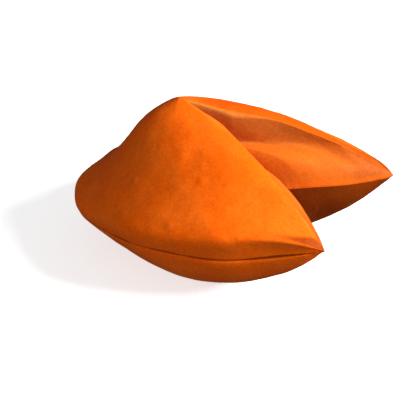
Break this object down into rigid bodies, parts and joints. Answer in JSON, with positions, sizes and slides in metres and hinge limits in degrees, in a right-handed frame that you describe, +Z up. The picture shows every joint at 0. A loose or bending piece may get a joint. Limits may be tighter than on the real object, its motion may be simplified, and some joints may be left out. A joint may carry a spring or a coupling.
{
  "type": "fortune cookie",
  "caption": "Folded wafer cookie: a round wafer folded over and bent to a peak, with pointed lobes and a shut curved seam.",
  "frame": {"origin": "centre of the bounding box in plan, on the surface the cookie rests on", "axes": "+X from the rounded back to the two tips, +Y across from one lobe to the other, +Z up through the folded peak"},
  "size_m": [0.0572, 0.0486, 0.0297],
  "materials": {
    "baked_wafer": "smooth baked wafer with a faint egg-and-sugar sheen, fine mottled pores, browner along the lips"
  },
  "bodies": {
    "root": {"cookie": "baked_wafer"}
  },
  "joints": []
}
